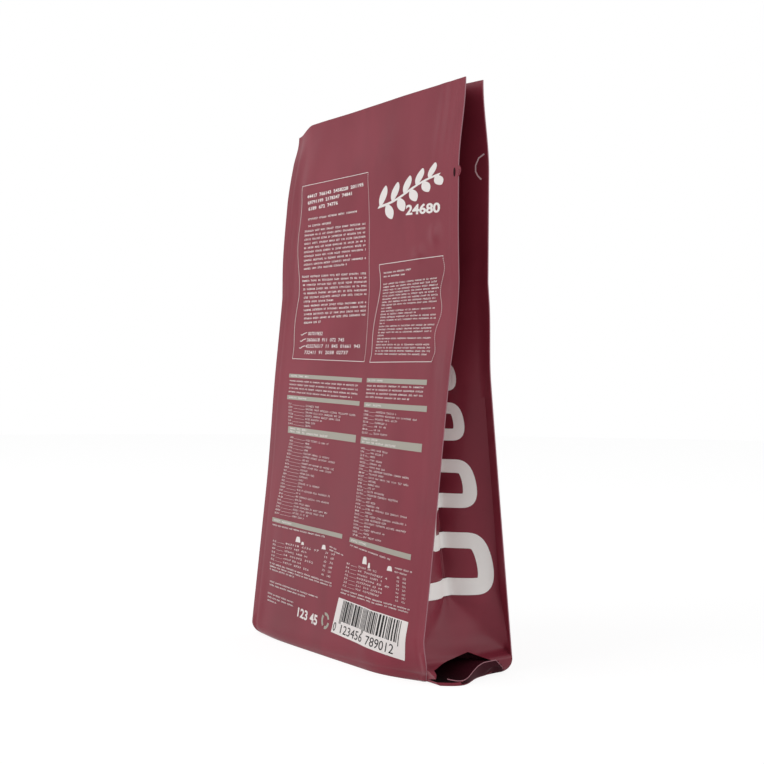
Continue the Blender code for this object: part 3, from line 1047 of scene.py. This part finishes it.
def winding(share):
    """To and fro across the fold: straight legs joined by round turns, smaller towards the top."""
    legs = len(WAVE_TURNS) - 1
    turn = mix(-WAVE_START, legs, min(0.9999, share))
    leg = max(0, math.floor(turn))
    along = turn - leg
    rise = 0.5 - 0.5 * math.cos(math.pi * ramp(along, LEG_STARTS, LEG_ENDS))
    height = mix(WAVE_TURNS[leg], WAVE_TURNS[leg + 1], rise)
    reach = mix(WAVE_REACH_LOW, WAVE_REACH_HIGH, (height - WAVE_TURNS[0]) / (WAVE_TURNS[-1] - WAVE_TURNS[0]))
    sway = math.cos(math.pi * (turn - 0.5))
    reach *= 1.0 + WAVE_START_REACH * (1.0 - ramp(turn, -WAVE_START, 0.0))
    return reach * math.copysign(abs(sway) ** LEG_FLATNESS, sway) - 0.2 * WAVE_WIDE, height


def band_width(share):
    ends = min(1.0, min(share, 1.0 - share) / ROUND_END)
    return mix(WAVE_WIDE, WAVE_NARROW, share) * math.sqrt(max(0.0, 1.0 - (1.0 - ends) ** 2))


for side, word in ((1, "right"), (-1, "left")):
    wave = bmesh.new()
    add_ribbon(wave, gusset_place(side), winding, band_width, 420, 8)
    if side > 0:
        bmesh.ops.reverse_faces(wave, faces=wave.faces)
    printed(wave, "wave_" + word, gusset_white)

# %% [markdown]
# ## The cut edge of the skirt, the tear notch and the zipper's marks
#
# Where film is cut, its pale inner layers show as a thin light line. Such a line runs along the rim below
# each mouth. Under the zipper, the back's right seam has a tear notch with a small tongue of film; the
# notch's hollow is a dark patch of painted shade. The zipper's end, crushed flat, has pressed a curved mark
# into the gusset, and a pale ribbon along it is a painted highlight.

# %% A thin tube along the rim
EDGE_RADIUS = 0.3 * MM
SKIRT_LIFT = 0.1 * MM
RIM_ENDS = MOUTH_NEAR_END + 7 * MM, MOUTH_FAR_END + TAIL_LENGTH
SKIRT_ENDS = MOUTH_NEAR_END - 2 * MM, MOUTH_FAR_END - 1 * MM


def film_at(side, y, height):
    """The place across the gusset's film at which the film stands at y, found by halving."""
    low, high = -1.0, 1.0
    for halving in range(24):
        middle = (low + high) / 2
        low, high = (middle, high) if gusset_film(side, middle, height).y < y else (low, middle)
    return middle


def rim_line(side, share):
    """A point of the rim: along the mouth, then down beside the far corner."""
    y = mix(*RIM_ENDS, share)
    return gusset_film(side, film_at(side, y, rim_tail(y)), rim_tail(y))


def skirt_line(side, share):
    """A point of the skirt's lower edge."""
    y = mix(*SKIRT_ENDS, share)
    return gusset_film(side, film_at(side, y, EDGE_RADIUS), EDGE_RADIUS) + Vector((0.0, 0.0, SKIRT_LIFT))


def add_tube(mesh, line):
    """A closed thin tube along a line that runs mostly along Y."""
    tube = bmesh.new()

    def around(across, down):
        turn = math.tau * across
        return line(down) + Vector((math.cos(turn), 0.0, math.sin(turn))) * EDGE_RADIUS

    add_patch(tube, around, 8, 60)
    bmesh.ops.remove_doubles(tube, verts=tube.verts, dist=0.01 * MM)
    bmesh.ops.holes_fill(tube, edges=tube.edges, sides=8)
    bmesh.ops.recalc_face_normals(tube, faces=tube.faces)
    part = as_data(tube, "tube")
    mesh.from_mesh(part)
    bpy.data.meshes.remove(part)


rims, skirts = bmesh.new(), bmesh.new()
for side in (-1, 1):
    add_tube(rims, lambda share, side=side: rim_line(side, share))
    add_tube(skirts, lambda share, side=side: skirt_line(side, share))
printed(rims, "rim_cut_edges", cut_edge)
printed(skirts, "skirt_edges", film)

# %% The notch, its tongue and the zipper's marks
NOTCH_LEFT, NOTCH_RIGHT, NOTCH_TOP, NOTCH_LOW = 95.6, 97.6, 317.4, 311.6
TONGUE_TOP, TONGUE_LOW = NOTCH_TOP + 0.6, NOTCH_LOW - 0.4
TONGUE_REACH, TONGUE_SAG, TONGUE_FULLNESS, TONGUE_THICK = 3.2, 0.9, 0.7, 0.25
MARK_POINTS = ((39.5, 328.4), (35.3, 326.2), (32.8, 321.7), (32.8, 318.0), (34.4, 315.1), (37.0, 312.5))


def along_mark(share):
    """A point on the zipper's mark, in mm from the fold and above the base."""
    place = min(0.9999, max(0.0, share)) * (len(MARK_POINTS) - 1)
    first = int(place)
    return [mix(*pair, place - first) for pair in zip(MARK_POINTS[first], MARK_POINTS[first + 1])]


notch_shade_patches, tongues, marks = bmesh.new(), bmesh.new(), bmesh.new()
notch = layout(upright(NOTCH_LEFT, NOTCH_RIGHT, NOTCH_TOP, NOTCH_LOW))


def round_width(share):
    return math.sqrt(max(0.0, 1.0 - (2.0 * share - 1.0) ** 2))


def tongue(across, down):
    height = mix(TONGUE_TOP, TONGUE_LOW, down) * MM
    reach = TONGUE_REACH * MM * math.sin(math.pi * min(1.0, 0.15 + 0.85 * down)) ** TONGUE_FULLNESS
    sag = -TONGUE_SAG * MM * across * (1 - across)
    return panel_film(-1, 0.999, height) + Vector((reach * across, sag, 0.0))


add_ribbon(notch_shade_patches, notch, lambda share: (0.5, share), round_width, 12, 4)
add_patch(tongues, tongue, 5, 10)
for side in (-1, 1):
    add_ribbon(marks, gusset_place(side), along_mark, lambda share: 1.0, 30, 2)
    if side > 0:
        bmesh.ops.reverse_faces(marks, faces=marks.faces)
bmesh.ops.solidify(tongues, geom=tongues.faces[:], thickness=TONGUE_THICK * MM)
bmesh.ops.recalc_face_normals(tongues, faces=tongues.faces)
# The notch's hollow is a dark patch of painted shade
printed(notch_shade_patches, "tear_notch_painted_shade", fold_shade)
printed(tongues, "tear_tongue", film)
# A pale ribbon paints the highlight on the ridge the zipper's end pressed into each gusset
zipper_mark_highlight = film_finish("painted_highlight_on_zipper_mark", "#E3C3C8", "#EBD0D4", 0.4, 0.00002)
printed(marks, "zipper_mark_painted_highlights", zipper_mark_highlight)

# %% [markdown]
# ## Light, floor and camera
#
# The photograph is a plain studio shot: white all round, light from everywhere, hardly a shadow. A white
# world does most of it. A large lamp from the front left gives the printed side its slight lead over the
# gusset, a wide one fills the gusset, and a weak low one glances off the matt coat. The floor is white
# paper that keeps only a trace of shadow, because it glows a little for the camera and glossy rays alone.

# %% World and floor
WHITE = (1.0, 1.0, 1.0, 1.0)
WORLD_LEVEL = 0.38
SHADOW_SHARE = 0.25
FLOOR_GLOW = 1.17


def seen_rays(tree):
    """1 for the rays that show the background: the camera's, reflected ones and ones that pass through."""
    rays = add_node(tree, "ShaderNodeLightPath")
    shown = rays.outputs["Is Camera Ray"]
    for kind in ("Is Glossy Ray", "Is Transmission Ray"):
        both = add_node(tree, "ShaderNodeMath", {"operation": "MAXIMUM"}, i0=shown, i1=rays.outputs[kind])
        shown = both.outputs[0]
    return shown


def mix_shaders(tree, share, first, second, output):
    both = add_node(tree, "ShaderNodeMixShader", i0=share, i1=first.outputs[0], i2=second.outputs[0])
    tree.links.new(both.outputs[0], tree.nodes[output].inputs["Surface"])


def white_world():
    world = bpy.data.worlds.new("white_studio")
    bpy.context.scene.world = world
    world.use_nodes = True
    tree = world.node_tree
    light = tree.nodes["Background"]
    light.inputs["Strength"].default_value = WORLD_LEVEL
    light.inputs["Color"].default_value = WHITE
    seen = add_node(tree, "ShaderNodeBackground", Color=WHITE, Strength=1.0)
    mix_shaders(tree, seen_rays(tree), light, seen, "World Output")


def paper_floor():
    mesh = bmesh.new()
    bmesh.ops.create_circle(mesh, cap_ends=True, segments=96, radius=4.0)
    floor = finished(mesh, "paper_floor")
    material, tree, paper = new_material("white_paper")
    paper.inputs["Base Color"].default_value = colour("#F4F4F4")
    paper.inputs["Roughness"].default_value = 0.9
    glow = add_node(tree, "ShaderNodeEmission", Color=WHITE, Strength=FLOOR_GLOW)
    share = add_node(
        tree, "ShaderNodeMath", {"operation": "MULTIPLY"}, i0=seen_rays(tree), i1=1.0 - SHADOW_SHARE
    )
    mix_shaders(tree, share.outputs[0], paper, glow, "Material Output")
    floor.data.materials.append(material)
    return floor


white_world()
paper_floor()

# %% Lamps and camera
CAMERA_AZIMUTH = math.radians(54.5)
CAMERA_PITCH = math.radians(-0.35)
CAMERA_ROLL = math.radians(0.46)
CAMERA_DISTANCE = 0.845
CAMERA_RIGHT = 0.00467
CAMERA_UP = -0.00239
LENS = 57.95
BAG_MIDDLE = Vector((0.0, 0.0, BAG_HEIGHT / 2))


def area_lamp(name, place, size, power):
    """A square lamp of so many watts, aimed at the bag's middle."""
    lamp = linked(name, bpy.data.lights.new(name, "AREA"))
    lamp.data.energy = power
    lamp.data.size = size
    lamp.location = place
    lamp.rotation_euler = (BAG_MIDDLE - lamp.location).to_track_quat("-Z", "Y").to_euler()


def set_camera():
    across = Vector((math.cos(CAMERA_AZIMUTH), math.sin(CAMERA_AZIMUTH), 0.0))
    away = Vector((math.sin(CAMERA_AZIMUTH), -math.cos(CAMERA_AZIMUTH), 0.0)) * math.cos(CAMERA_PITCH)
    away.z = math.sin(CAMERA_PITCH)
    up = away.cross(across)
    right = across * math.cos(CAMERA_ROLL) + up * math.sin(CAMERA_ROLL)
    up = up * math.cos(CAMERA_ROLL) - across * math.sin(CAMERA_ROLL)
    camera = linked("camera", bpy.data.cameras.new("camera"))
    camera.data.lens = LENS
    camera.data.sensor_width = 36.0
    place = BAG_MIDDLE + away * CAMERA_DISTANCE + right * CAMERA_RIGHT + up * CAMERA_UP
    turn = [(right[row], up[row], away[row], place[row]) for row in range(3)] + [(0.0, 0.0, 0.0, 1.0)]
    camera.matrix_world = Matrix(turn)
    bpy.context.scene.camera = camera
    print("camera at", [round(value, 3) for value in place])


area_lamp("window", (-0.6, -2.2, 1.2), 2.2, 34.0)
area_lamp("side_fill", (2.0, 1.5, 0.4), 2.6, 25.0)
area_lamp("glancing", (-1.75, -1.25, 0.25), 0.5, 0.8)
set_camera()
bpy.context.scene.view_settings.view_transform = "Standard"
